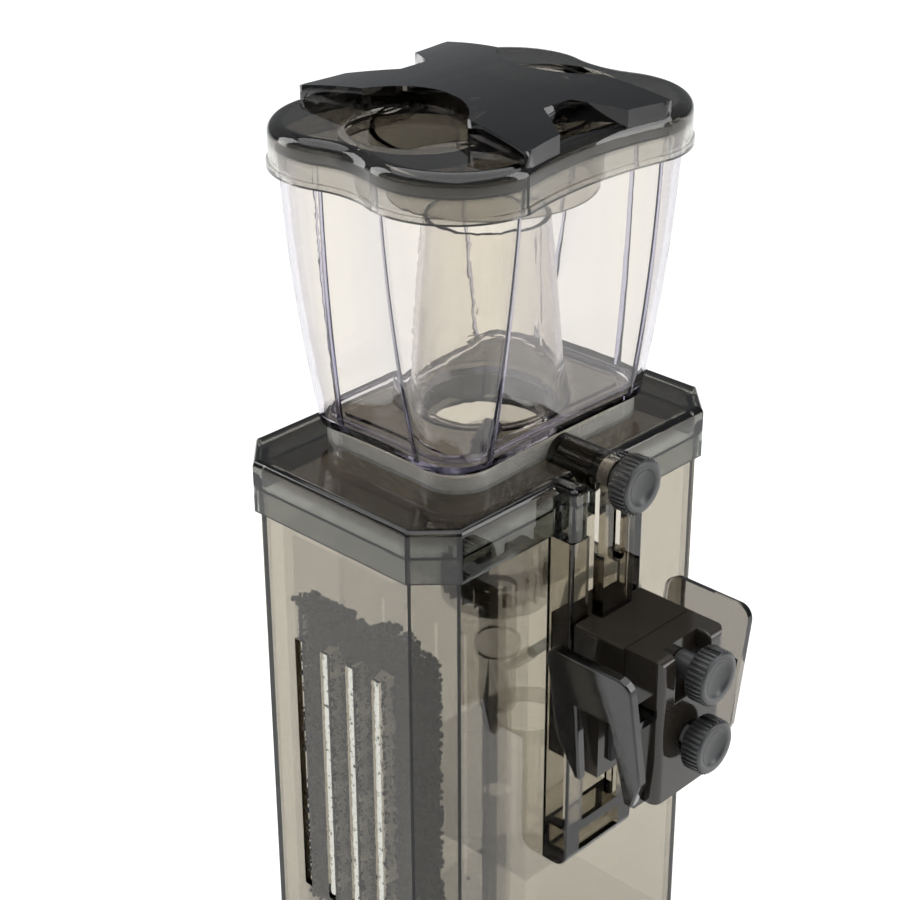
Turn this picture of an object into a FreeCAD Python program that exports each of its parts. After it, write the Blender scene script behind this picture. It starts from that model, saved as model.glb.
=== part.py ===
"""Hang-on nano protein skimmer with a carbon chamber, a collection cup and a glass clamp.

Millimetres. Origin at the centre of the tank's underside, +Z up. +X points to the clamp side,
-Y to the face with the water intake slots.
"""
import FreeCAD, Part
import math
import os

V = FreeCAD.Vector
AX = V(1, 0, 0)
AZ = V(0, 0, 1)

# ---- driving dimensions -------------------------------------------------------------------
GAP = 0.3                       # clearance between pieces that move apart
FIT = 0.05                      # radial running clearance of studs and shafts
EASE = 0.6                      # rounding of the moulded outer edges
TANK_X, TANK_Y = 34.6, 53.6     # half width and half depth of the tank
TANK_CHAMFER = 8.9
TANK_WALL = 2.0
TANK_TOP = 202.0
BASE_T = 3.0                    # base plate thickness
DECK_Z, DECK_T = 36.0, 2.5      # deck over the pump bay

COVER_X, COVER_Y = 36.0, 55.0   # half width and half depth of the top cover
COVER_CHAMFER = 9.5
COVER_Z = 210.0                 # top face of the cover
COVER_H = 14.2
COVER_T = 2.5
FOAM_R = 17.0                   # foam passage through cover, collar and cup
GLAND_X, GLAND_Z, GLAND_R = -18.0, 199.6, 3.2

RAIL_X = 42.5                   # outer face of the rail
RAIL_Y = 13.5                   # half width over both rail columns
RAIL_SLOT = 7.15                # half width of the slot between the lips
RAIL_BOTTOM, RAIL_STOP, RAIL_TOP = 97.4, 110.0, 195.5

SLOT_XS = (-13.9, -4.6, 4.6, 13.9)
SLOT_W = 2.6
SLOT_Z0, SLOT_Z1 = 85.0, 162.7

COLLAR_H = 5.5
CUP_Z0 = COVER_Z + COLLAR_H + 0.5
CUP_Z1 = COVER_Z + 78.0
CUP_WALL = 1.8
CUP_FLOOR = 2.2
# plan of the cup and lid: corner arc centre x, y, arc radius, half width at the side middles
CUP_BASE = (15.9, 26.7, 11.0, 26.4, 37.0)
CUP_MID = (15.6, 26.4, 16.4, 30.2, 40.9)
CUP_TOP = (15.2, 25.6, 20.2, 32.4, 43.2)
CREASE_X, CREASE_Y = 0.03, 0.28  # how far a lobe's arc runs on past its quarter turn, radians
LID_PLAN = (15.4, 25.85, 22.0, 34.5, 45.3)
LID_Z0 = COVER_Z + 72.6
LID_Z1 = COVER_Z + 84.0
LID_WALL = 1.6
LID_TOP_T = 2.5
WELL_Y, WELL_R, WELL_DEPTH = 23.0, 16.4, 4.6
WELL_WALL = 1.6
WELL_FLOOR_Z = LID_Z1 - WELL_DEPTH
BRIDGE_CROWN = 3.5
NECK_R0, NECK_R1, NECK_TOP = 19.8, 15.6, COVER_Z + 57.0
DEFLECTOR_R, DEFLECTOR_Z0 = 27.6, COVER_Z + 65.0

BAR_X0, BAR_X1, BAR_HALF = 42.7, 46.1, 5.7
BAR_TRAVEL = 20.0
HOOK_TOP, HOOK_BOTTOM = 173.0, 131.5
HOOK_HALF = 13.0                # half width of the clamp's slider block
JAW_HALF = 12.5                 # half width of its outer jaw
GLASS_X0, GLASS_X1, GLASS_TOP = 52.0, 62.5, 157.0
SEAM_X = 58.9                   # where the outer jaw meets the slider block
JAW_X = 70.5
CHEEK_X0, CHEEK_TOP_Y, CHEEK_BOTTOM_Y, CHEEK_T = 44.0, 24.9, 17.7, 2.4

STUD_R = 2.4
KNOB_R, KNOB_T, KNOB_RIBS = 7.3, 5.5, 30
HEIGHT_SCREW_Z = COVER_Z
UPPER_Z, LOWER_Z = 166.7, 146.6
KNOB_BACK_X = 72.9              # back of the two clamp knob heads
HEIGHT_KNOB_BACK_X = 47.3
COUNTERBORE_X = 68.0            # floor of the recess that the clamp knob's neck runs into
PAD_X, PAD_T = 57.8, 2.8        # face and thickness of the press pad

PARTITION_Y = -20.0
REACTOR_X, REACTOR_Y = 0.0, 5.0
PUMP_X, PUMP_Y = 0.0, 16.0


# ---- helpers ------------------------------------------------------------------------------
def box(x0, x1, y0, y1, z0, z1):
    return Part.makeBox(x1 - x0, y1 - y0, z1 - z0, V(x0, y0, z0))


def cyl(radius, z0, z1, x=0.0, y=0.0):
    return Part.makeCylinder(radius, z1 - z0, V(x, y, z0), AZ)


def rod(radius, x0, x1, z, y=0.0):
    """Cylinder along +X."""
    return Part.makeCylinder(radius, x1 - x0, V(x0, y, z), AX)


def cone(r0, r1, z0, z1, x=0.0, y=0.0):
    return Part.makeCone(r0, r1, z1 - z0, V(x, y, z0), AZ)


def tube(outer, inner, z0, z1, x=0.0, y=0.0):
    return cyl(outer, z0, z1, x, y).cut(cyl(inner, z0, z1, x, y))


def octagon(half_x, half_y, chamfer, z0, z1):
    """Prism with chamfered corners."""
    pts = [
        V(half_x, half_y - chamfer, z0),
        V(half_x - chamfer, half_y, z0),
        V(chamfer - half_x, half_y, z0),
        V(-half_x, half_y - chamfer, z0),
        V(-half_x, chamfer - half_y, z0),
        V(chamfer - half_x, -half_y, z0),
        V(half_x - chamfer, -half_y, z0),
        V(half_x, chamfer - half_y, z0),
    ]
    face = Part.Face(Part.makePolygon(pts + pts[:1]))
    return face.extrude(V(0, 0, z1 - z0))


def arc(centre, radius, a0, a1, z):
    pts = [
        V(centre[0] + radius * math.cos(a), centre[1] + radius * math.sin(a), z)
        for a in (a0, 0.5 * (a0 + a1), a1)
    ]
    return Part.Arc(*pts).toShape()


def lobed(plan, z, inset=0.0):
    """Closed outline of four corner lobes. Each ends in a crease, where a shallow hollow side begins."""
    cx, cy, radius, mid_x, mid_y = plan
    radius -= inset
    mids = ((mid_x - inset, 0), (0, mid_y - inset), (inset - mid_x, 0), (0, inset - mid_y))
    half = math.pi / 2.0
    turns = (-CREASE_X, half + CREASE_Y)
    lobes = []
    for k, (sx, sy) in enumerate(((1, 1), (-1, 1), (-1, -1), (1, -1))):
        first, last = turns if k % 2 == 0 else (-CREASE_Y, half + CREASE_X)
        lobes.append(arc((sx * cx, sy * cy), radius, k * half + first, k * half + last, z))
    edges = []
    for k, lobe in enumerate(lobes):
        start = lobe.valueAt(lobe.LastParameter)
        after = lobes[(k + 1) % 4]
        end = after.valueAt(after.FirstParameter)
        mid = mids[(k + 1) % 4]
        edges += [lobe, Part.Arc(start, V(mid[0], mid[1], z), end).toShape()]
    return Part.Wire(edges)


def lobed_prism(plan, z0, z1, inset=0.0):
    return Part.Face(lobed(plan, z0, inset)).extrude(V(0, 0, z1 - z0))


def edges_at(shape, z, tol=0.01):
    return [e for e in shape.Edges if abs(e.BoundBox.ZMin - z) < tol and abs(e.BoundBox.ZMax - z) < tol]


def knob(back_x, z, neck_x):
    """Thumbscrew head along +X: ribbed rim, dished face, and a neck towards the thread."""
    head = rod(KNOB_R, back_x, back_x + KNOB_T, z)
    front = [e for e in head.Edges if e.BoundBox.XMin > back_x + KNOB_T - 0.01]
    head = head.makeChamfer(0.5, front)
    for i in range(KNOB_RIBS):
        a = 2.0 * math.pi * i / KNOB_RIBS
        groove = rod(0.32, back_x - 1, back_x + KNOB_T + 1, z + KNOB_R * math.sin(a), KNOB_R * math.cos(a))
        head = head.cut(groove)
    dish_r = 16.0
    dish = Part.makeSphere(dish_r, V(back_x + KNOB_T + dish_r - 1.3, 0, z))
    head = head.cut(dish)
    head = head.fuse(rod(3.9, neck_x, back_x + 0.5, z))
    return head.cut(rod(STUD_R, neck_x - 1, back_x + 2.5, z)).removeSplitter()


# ---- tank ---------------------------------------------------------------------------------
def slots(y0, y1, z0, z1, width):
    cutters = []
    for x in SLOT_XS:
        cutters.append(box(x - width / 2, x + width / 2, y0, y1, z0, z1))
    return Part.makeCompound(cutters)


def tank_shell():
    outer = octagon(TANK_X, TANK_Y, TANK_CHAMFER, BASE_T, TANK_TOP)
    inner_chamfer = TANK_CHAMFER - 0.586 * TANK_WALL
    inner = octagon(TANK_X - TANK_WALL, TANK_Y - TANK_WALL, inner_chamfer, BASE_T, TANK_TOP)
    body = outer.cut(inner)
    body = body.cut(slots(-TANK_Y - 1, -TANK_Y + TANK_WALL + 1, SLOT_Z0, SLOT_Z1, SLOT_W))
    for i in range(5):
        y = -16.0 + 8.0 * i
        body = body.cut(box(-TANK_X - 1, -TANK_X + TANK_WALL + 1, y, y + 3.0, 8.0, 28.0))
    return body


def base_plate():
    return octagon(TANK_X, TANK_Y, TANK_CHAMFER, 0.0, BASE_T)


def inner_plate(z0, z1):
    """Plate that fits inside the tank walls."""
    inset = TANK_WALL + 0.1
    return octagon(TANK_X - inset, TANK_Y - inset, TANK_CHAMFER - 0.586 * inset, z0, z1)


def pump_deck():
    deck = inner_plate(DECK_Z, DECK_Z + DECK_T)
    return deck.cut(cyl(4.2, DECK_Z - 1, DECK_Z + DECK_T + 1, REACTOR_X, REACTOR_Y))


def partition_wall():
    return box(-32.4, 32.4, PARTITION_Y - 1.0, PARTITION_Y + 1.0, DECK_Z + DECK_T, 196.0)


def hanger_rail():
    """Two lipped columns and the stop that joins them, welded to the tank's clamp side."""
    rail = box(TANK_X, RAIL_X, -RAIL_Y, RAIL_Y, RAIL_BOTTOM, RAIL_TOP)
    bottom = [
        e for e in rail.Edges
        if e.BoundBox.XMin > RAIL_X - 0.01 and abs(e.BoundBox.ZMin - RAIL_BOTTOM) < 0.01
        and e.BoundBox.YMax - e.BoundBox.YMin > 1
    ]
    rail = rail.makeFillet(4.0, bottom)
    flank = [
        e for e in rail.Edges
        if e.BoundBox.XMin > RAIL_X - 0.01 and e.BoundBox.ZMax - e.BoundBox.ZMin > 20
    ]
    rail = rail.makeFillet(EASE, flank)
    channel = box(TANK_X - 1, RAIL_X - 2.0, -RAIL_Y + 2.0, RAIL_Y - 2.0, RAIL_STOP, RAIL_TOP + 1)
    mouth = box(RAIL_X - 3, RAIL_X + 1, -RAIL_SLOT, RAIL_SLOT, RAIL_STOP, RAIL_TOP + 1)
    window = box(TANK_X - 1, RAIL_X + 1, -8.0, 8.0, RAIL_BOTTOM + 3.5, RAIL_STOP - 3.0)
    return rail.cut(channel).cut(mouth).cut(window)


# ---- media chamber ------------------------------------------------------------------------
BASKET_X, BASKET_Y0, BASKET_Y1 = 24.5, -51.2, -21.6
BASKET_Z0, BASKET_Z1, BASKET_WALL = 74.0, 191.0, 1.6


def basket_prism(inset, z0, z1):
    x = BASKET_X - inset
    y0 = BASKET_Y0 + inset
    y1 = BASKET_Y1 - inset
    c = 5.0
    outline = [(c - x, y0), (x - c, y0), (x, y0 + c), (x, y1), (-x, y1), (-x, y0 + c)]
    pts = [V(px, py, z0) for px, py in outline]
    return Part.Face(Part.makePolygon(pts + pts[:1])).extrude(V(0, 0, z1 - z0))


def media_basket():
    body = basket_prism(0.0, BASKET_Z0, BASKET_Z1)
    body = body.cut(basket_prism(BASKET_WALL, BASKET_Z0 + BASKET_WALL, BASKET_Z1 + 1))
    body = body.cut(slots(BASKET_Y0 - 1, BASKET_Y0 + BASKET_WALL + 1, SLOT_Z0, SLOT_Z1, SLOT_W + 0.6))
    return body.cut(slots(BASKET_Y1 - BASKET_WALL - 1, BASKET_Y1 + 1, SLOT_Z0, SLOT_Z1, SLOT_W))


def basket_shelf():
    """Ledge of two bars that carries the basket."""
    bars = []
    for x in (-16.0, 16.0):
        bars.append(box(x - 2, x + 2, BASKET_Y0, BASKET_Y1, DECK_Z + DECK_T, BASKET_Z0))
    return Part.makeCompound(bars)


def pad_strips(ease):
    """Fibre strips behind the slots. The first slot has none, so the carbon shows there."""
    strips = []
    for x in SLOT_XS[1:]:
        strips.append(box(x - 2.2 - ease, x + 2.2 + ease, -49.4 - ease, -47.2 + ease, 80.0 - ease, 166.0 + ease))
    return strips


def filter_pad():
    return Part.makeCompound(pad_strips(0.0))


def carbon_media():
    bed = basket_prism(BASKET_WALL + 0.3, BASKET_Z0 + BASKET_WALL + 0.2, 176.0)
    return bed.cut(Part.makeCompound(pad_strips(0.3)))


# ---- reaction chamber and pump --------------------------------------------------------------
def reaction_cone():
    """Funnel that gathers the foam below the cover's foam passage."""
    outer = cone(24.0, 18.0, 172.0, 200.0, REACTOR_X, REACTOR_Y)
    inner = cone(22.6, 16.6, 172.0, 200.0, REACTOR_X, REACTOR_Y)
    outer = outer.common(box(-32, 32, PARTITION_Y + 1.2, 51, 170, 202))
    return outer.cut(inner)


def bubble_diffuser():
    """Slotted ring that breaks up the water jet."""
    x, y = REACTOR_X, REACTOR_Y
    ring = tube(14.6, 12.4, 158.0, 170.0, x, y)
    for i in range(24):
        cutter = box(12.0, 15.0, -0.7, 0.7, 160.0, 168.0)
        cutter.rotate(V(0, 0, 0), AZ, 15.0 * i)
        cutter.translate(V(x, y, 0))
        ring = ring.cut(cutter)
    plate = tube(12.4, 5.3, 158.0, 160.0, x, y)
    return ring.fuse(plate)


def venturi_nozzle():
    x, y = REACTOR_X, REACTOR_Y
    nozzle = cyl(5.2, 122.0, 160.0, x, y)
    nozzle = nozzle.fuse(cyl(6.4, 140.0, 143.0, x, y))
    bore = cyl(2.4, 121.0, 161.0, x, y).fuse(cone(4.2, 2.4, 121.9, 134.0, x, y))
    stub = Part.makeCylinder(2.0, 9.0, V(x, y + 4.8, 132.0), V(0, 1, 0))
    hole = Part.makeCylinder(1.0, 12.0, V(x, y + 2.0, 132.0), V(0, 1, 0))
    return nozzle.fuse(stub).cut(bore).cut(hole)


def outlet_pipe():
    x, y = REACTOR_X, REACTOR_Y
    return tube(4.1, 2.9, 34.2, 122.0, x, y)


def reactor_tray():
    """Shallow plate across the reaction chamber, round the outlet pipe."""
    tray = inner_plate(92.0, 93.6).common(box(-40, 40, PARTITION_Y + 1.2, 60, 90, 95))
    tray = tray.cut(cyl(4.2, 90, 95, REACTOR_X, REACTOR_Y))
    for x in (-18.0, 18.0):
        tray = tray.cut(cyl(9.0, 90, 95, x, 38.0))
    return tray


def path_tube(points, radius, bend):
    """Round tube along straight runs joined by tangent arcs."""
    edges = []
    last = points[0]
    for a, b, c in zip(points, points[1:], points[2:]):
        u = (a - b).normalize()
        w = (c - b).normalize()
        half = u.getAngle(w) / 2.0
        cut = bend / math.tan(half)
        start = b + u * cut
        end = b + w * cut
        bis = (u + w).normalize()
        mid = b + bis * (bend / math.sin(half) - bend)
        edges.append(Part.LineSegment(last, start).toShape())
        edges.append(Part.Arc(start, mid, end).toShape())
        last = end
    edges.append(Part.LineSegment(last, points[-1]).toShape())
    wire = Part.Wire(edges)
    ring = Part.Wire(Part.Circle(points[0], points[1] - points[0], radius).toShape())
    return wire.makePipeShell([ring], True, False)


AIR_POINTS = [
    V(REACTOR_X, REACTOR_Y + 13.8, 132.0),
    V(REACTOR_X, 31.0, 132.0),
    V(2.0, 34.5, 150.0),
    V(12.0, 44.0, 156.0),
    V(20.0, 46.0, 138.0),
    V(20.0, 47.0, 112.0),
]


def airline_tube():
    return path_tube(AIR_POINTS, 1.6, 5.0)


def pump_housing():
    """Motor can with a blind well for the magnet and the volute chamber on top."""
    body = cyl(16.0, BASE_T, 27.0, PUMP_X, PUMP_Y)
    body = body.fuse(box(-22.0, 22.0, PUMP_Y - 9.0, PUMP_Y + 9.0, BASE_T, 6.0))
    body = body.cut(cyl(6.9, 6.5, 20.0, PUMP_X, PUMP_Y))
    return body.cut(cyl(12.4, 20.0, 28.0, PUMP_X, PUMP_Y))


def pump_cover():
    plate = cyl(16.0, 27.0, 29.2, PUMP_X, PUMP_Y)
    spout = cyl(5.6, 27.0, 34.2, REACTOR_X, REACTOR_Y)
    hole = cyl(3.0, 26.0, 35.0, REACTOR_X, REACTOR_Y)
    body = plate.fuse(spout).cut(hole)
    for i in range(5):
        a = math.radians(45.0 * i)
        body = body.cut(cyl(1.6, 26.0, 30.0, PUMP_X + 7.0 * math.cos(a), PUMP_Y + 7.0 * math.sin(a)))
    return body


def impeller():
    hub = cyl(4.0, 20.4, 26.0, PUMP_X, PUMP_Y)
    hub = hub.fuse(cyl(10.5, 20.4, 21.4, PUMP_X, PUMP_Y))
    for i in range(6):
        blade = box(3.0, 10.5, -0.6, 0.6, 21.0, 26.0)
        blade.rotate(V(0, 0, 0), AZ, 60.0 * i)
        blade.translate(V(PUMP_X, PUMP_Y, 0))
        hub = hub.fuse(blade)
    return hub.cut(cyl(1.25 + FIT, 20.0, 27.0, PUMP_X, PUMP_Y)).removeSplitter()


def impeller_magnet():
    return tube(6.4, 1.25 + FIT, 8.2, 20.4, PUMP_X, PUMP_Y)


def impeller_shaft():
    return cyl(1.25, 6.5, 26.9, PUMP_X, PUMP_Y)


def shaft_bush():
    return tube(3.0, 1.25, 6.5, 7.9, PUMP_X, PUMP_Y)


def cable_gland():
    """Soft gland in the rear of the cover, where the pump's lead leaves."""
    axis = V(0, 1, 0)
    body = Part.makeCylinder(GLAND_R, 9.0, V(GLAND_X, COVER_Y - 1.0, GLAND_Z), axis)
    flange = Part.makeCylinder(GLAND_R + 1.4, 1.8, V(GLAND_X, COVER_Y + 0.05, GLAND_Z), axis)
    bore = Part.makeCylinder(1.6, 12.0, V(GLAND_X, COVER_Y - 2.0, GLAND_Z), axis)
    return body.fuse(flange).cut(bore)


# ---- cover --------------------------------------------------------------------------------
def cover_hump(sign):
    """Rounded housing over one rail column."""
    y0, y1 = sorted((sign * RAIL_SLOT, sign * RAIL_Y))
    hump = box(COVER_X - 3, RAIL_X, y0, y1, COVER_Z - COVER_H, COVER_Z)
    outer = [e for e in hump.Edges if e.BoundBox.XMin > RAIL_X - 0.1]
    upright = [e for e in outer if e.BoundBox.ZMax - e.BoundBox.ZMin > 5]
    top = [e for e in edges_at(hump, COVER_Z) if e.BoundBox.XMax > RAIL_X - 0.1]
    return hump.makeFillet(1.8, upright + top)


def top_cover():
    """Smoked cap with a rounded top edge, rail humps and the boss of the height screw."""
    cap = octagon(COVER_X, COVER_Y, COVER_CHAMFER, COVER_Z - COVER_H, COVER_Z)
    cap = cap.makeFillet(1.8, edges_at(cap, COVER_Z))
    cap = cap.fuse([cover_hump(1), cover_hump(-1)])
    cap = cap.fuse(rod(5.6, 26.5, RAIL_X - 0.3, HEIGHT_SCREW_Z))
    cap = cap.fuse(box(COVER_X - 2, RAIL_X - 0.3, -4.0, 4.0, COVER_Z - COVER_H + 4, COVER_Z - 2))
    wall = TANK_X + GAP
    lower = octagon(wall, TANK_Y + GAP, TANK_CHAMFER, COVER_Z - COVER_H - 1, TANK_TOP)
    inner = TANK_X - TANK_WALL
    upper = octagon(inner, TANK_Y - TANK_WALL, TANK_CHAMFER - 1.2, TANK_TOP - 1, COVER_Z - COVER_T)
    cap = cap.cut(lower).cut(upper)
    cap = cap.cut(cyl(FOAM_R, COVER_Z - 5, COVER_Z + 1))
    cap = cap.cut(rod(3.6, 28.0, 38.5, HEIGHT_SCREW_Z)).cut(rod(STUD_R + FIT, 27.9, 45.0, HEIGHT_SCREW_Z))
    gland = Part.makeCylinder(GLAND_R, 9.0, V(GLAND_X, COVER_Y - 4.0, GLAND_Z), V(0, 1, 0))
    return cap.cut(gland).removeSplitter()


def boss_insert():
    return rod(3.6, 28.0, 38.5, HEIGHT_SCREW_Z).cut(rod(STUD_R + FIT, 27.0, 39.0, HEIGHT_SCREW_Z))


def cup_collar():
    """Clear plinth that locates the cup."""
    plan = (15.5, 25.5, 10.5, 25.6, 35.6)
    ring = lobed_prism(plan, COVER_Z, COVER_Z + COLLAR_H)
    ring = ring.cut(lobed_prism(plan, COVER_Z, COVER_Z + COLLAR_H - 2.0, 2.6))
    return ring.cut(cyl(FOAM_R + 1.6, COVER_Z - 1, COVER_Z + COLLAR_H + 1))


def foam_seal():
    """Soft ring between the foam passage and the cup's neck."""
    return tube(FOAM_R + 1.5, FOAM_R, COVER_Z, COVER_Z + COLLAR_H + 0.2)


# ---- cup ----------------------------------------------------------------------------------
def cup_loft(inset, z0, z1):
    span = CUP_Z1 - CUP_Z0
    wires = []
    for plan, part in ((CUP_BASE, 0.0), (CUP_MID, 0.45), (CUP_TOP, 1.0)):
        wires.append(lobed(plan, CUP_Z0 + part * span, inset))
    body = Part.makeLoft(wires, True, False)
    return body.common(box(-60, 60, -60, 60, z0, z1))


def collection_cup():
    outer = cup_loft(0.0, CUP_Z0, CUP_Z1)
    inner = cup_loft(CUP_WALL, CUP_Z0 + CUP_FLOOR, CUP_Z1)
    cup = outer.cut(inner)
    groove = lobed_prism(CUP_BASE, CUP_Z0 + CUP_FLOOR - 1.0, CUP_Z0 + CUP_FLOOR + 1, 4.0)
    groove = groove.cut(lobed_prism(CUP_BASE, CUP_Z0 + CUP_FLOOR - 1.0, CUP_Z0 + CUP_FLOOR + 1, 7.0))
    return cup.cut(groove).cut(cyl(FOAM_R, CUP_Z0 - 1, CUP_Z0 + 5))


def riser_neck():
    """Clear cone that the foam climbs, with a flared foot on the cup floor."""
    z0 = CUP_Z0 + CUP_FLOOR
    knee = COVER_Z + 16.0
    outer = cone(21.6, NECK_R0, z0, knee).fuse(cone(NECK_R0, NECK_R1, knee, NECK_TOP))
    inner = cone(20.0, NECK_R0 - 1.5, z0, knee).fuse(cone(NECK_R0 - 1.5, NECK_R1 - 1.4, knee, NECK_TOP))
    return outer.cut(inner)


def drain_stub():
    """Short drain pipe moulded on the cup floor."""
    z = CUP_Z0 + CUP_FLOOR + 2.2
    along = V(0.45, -0.9, 0)
    body = Part.makeCylinder(2.1, 11.0, V(17.2, -15.6, z), along)
    return body.cut(Part.makeCylinder(1.2, 9.5, V(18.1, -17.4, z), along))


# ---- lid ----------------------------------------------------------------------------------
def lid_dome():
    """Outer form of the lid, with its rounded shoulder."""
    body = lobed_prism(LID_PLAN, LID_Z0, LID_Z1)
    return body.makeFillet(3.2, edges_at(body, LID_Z1))


def cup_lid():
    """Smoked lid with a flared rim, a stepped skirt and two finger wells."""
    body = lid_dome()
    flare = lobed_prism(LID_PLAN, LID_Z0, LID_Z0 + 1.6, -0.5)
    body = body.fuse(flare)
    body = body.cut(lobed_prism(LID_PLAN, LID_Z0 - 1, LID_Z1 - LID_TOP_T, LID_WALL))
    for sign in (1, -1):
        y = sign * WELL_Y
        body = body.fuse(cyl(WELL_R + WELL_WALL, WELL_FLOOR_Z - WELL_WALL, LID_Z1 - 1.0, 0, y))
    for sign in (1, -1):
        y = sign * WELL_Y
        vent_y = y + sign * 9.0
        body = body.cut(cyl(WELL_R, WELL_FLOOR_Z, LID_Z1 + 1, 0, y))
        body = body.cut(box(-9.0, -4.5, vent_y - 0.9, vent_y + 0.9, LID_Z1 - 8, LID_Z1))
    return body.removeSplitter()


def lid_bridge():
    """Crowned X-shaped grip across the lid, between the two finger wells."""
    tip_x, tip_y = 36.4, 25.6
    z = LID_Z1 - 3.4
    notch = [V(tip_x, 13.2, z), V(23.0, 4.6, z)]
    cut_y, cut_r, cut_x = 34.0, 20.0, 17.0
    join_y = cut_y - math.sqrt(cut_r ** 2 - cut_x ** 2)
    far = Part.Arc(V(cut_x, join_y, z), V(0, cut_y - cut_r, z), V(-cut_x, join_y, z)).toShape()
    near = Part.Arc(V(-cut_x, -join_y, z), V(0, cut_r - cut_y, z), V(cut_x, -join_y, z)).toShape()

    def runs(points):
        return [Part.LineSegment(a, b).toShape() for a, b in zip(points, points[1:])]

    right = [V(cut_x, -join_y, z), V(tip_x, -tip_y, z), V(tip_x, -13.2, z), V(23.0, -4.6, z)]
    right += [notch[1], notch[0], V(tip_x, tip_y, z), V(cut_x, join_y, z)]
    left = [V(-p.x, -p.y, z) for p in right]
    wire = Part.Wire(runs(right) + [far] + runs(left) + [near])
    slab = Part.Face(wire).extrude(V(0, 0, 12.0))
    tip_rise = 2.9
    crown_r = tip_x ** 2 / (2.0 * BRIDGE_CROWN)
    crown_z = LID_Z1 + tip_rise + BRIDGE_CROWN - crown_r
    crown = Part.makeCylinder(crown_r, 100, V(0, -50, crown_z), V(0, 1, 0))
    inside = lobed_prism(LID_PLAN, LID_Z0, LID_Z1 + 9, 0.6)
    slab = slab.common(crown).common(inside).cut(lid_dome())
    for sign in (1, -1):
        slab = slab.cut(cyl(WELL_R, LID_Z1 - 1, LID_Z1 + 0.8, 0, sign * WELL_Y))
    return slab


def lid_deflector():
    """Round skirt under the lid that turns the foam down."""
    z1 = LID_Z1 - LID_TOP_T
    skirt = tube(DEFLECTOR_R, DEFLECTOR_R - 1.5, DEFLECTOR_Z0, z1)
    well_r = WELL_R + WELL_WALL
    wells = [cyl(well_r, WELL_FLOOR_Z - WELL_WALL, z1 + 1, 0, sign * WELL_Y) for sign in (1, -1)]
    return skirt.cut(wells[0]).cut(wells[1])


def lid_seal():
    """Soft ring between the cup's rim and the lid."""
    z0 = CUP_Z1 + GAP
    z1 = LID_Z1 - LID_TOP_T
    ring = lobed_prism(LID_PLAN, z0, z1, LID_WALL + 0.1)
    return ring.cut(lobed_prism(LID_PLAN, z0 - 1, z1 + 1, LID_WALL + 2.2))


# ---- hanger -------------------------------------------------------------------------------
def hanger_bar():
    """Slotted strip that hangs from the height screw."""
    top = HEIGHT_SCREW_Z + 5.7
    bar = box(BAR_X0, BAR_X1, -BAR_HALF, BAR_HALF, 151.0, top)
    upright = [
        e for e in bar.Edges
        if e.BoundBox.XMax - e.BoundBox.XMin > 1 and e.BoundBox.ZMin > top - 0.1
    ]
    bar = bar.makeFillet(4.5, upright)
    slot_r = STUD_R + 0.2
    low = HEIGHT_SCREW_Z - BAR_TRAVEL - 0.3
    slot = box(BAR_X0 - 1, BAR_X1 + 1, -slot_r, slot_r, low, HEIGHT_SCREW_Z)
    slot = slot.fuse([rod(slot_r, BAR_X0 - 1, BAR_X1 + 1, z) for z in (low, HEIGHT_SCREW_Z)])
    return bar.cut(slot)


def hook_plate(x0, x1, y0, y1):
    """Slab with the glass slot cut up from its underside."""
    slab = box(x0, x1, y0, y1, HOOK_BOTTOM, HOOK_TOP)
    return slab.cut(box(GLASS_X0, GLASS_X1, y0 - 1, y1 + 1, HOOK_BOTTOM - 1, GLASS_TOP))


def slider_block():
    """T-shaped slider in the rail and the inner half of the clamp."""
    head_half = RAIL_Y - 2.0 - GAP
    head = box(TANK_X + GAP, RAIL_X - 2.0 - GAP, -head_half, head_half, HOOK_BOTTOM, HOOK_TOP)
    neck = box(TANK_X + 2, RAIL_X + 1, -RAIL_SLOT + GAP, RAIL_SLOT - GAP, HOOK_BOTTOM, HOOK_TOP)
    body = hook_plate(RAIL_X + GAP, SEAM_X, -HOOK_HALF, HOOK_HALF)
    flank = [
        e for e in body.Edges
        if e.BoundBox.XMax < SEAM_X - 0.1 + (e.BoundBox.XMax - e.BoundBox.XMin)
        and e.BoundBox.XMin < RAIL_X + GAP + 0.1
        and (e.BoundBox.ZMin > HOOK_TOP - 0.1 or e.BoundBox.ZMax - e.BoundBox.ZMin > 20)
    ]
    body = body.makeFillet(EASE, flank)
    body = body.fuse([head, neck])
    body = body.cut(box(BAR_X0, BAR_X1, -BAR_HALF, BAR_HALF, 151.0, HOOK_TOP + 1))
    body = body.cut(rod(3.6, 48.0, 56.0, UPPER_Z)).cut(rod(STUD_R + FIT, 47.0, 60.0, UPPER_Z))
    return body.removeSplitter()


def slider_insert():
    return rod(3.6, 48.0, 56.0, UPPER_Z).cut(rod(STUD_R + FIT, 47.0, 57.0, UPPER_Z))


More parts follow.
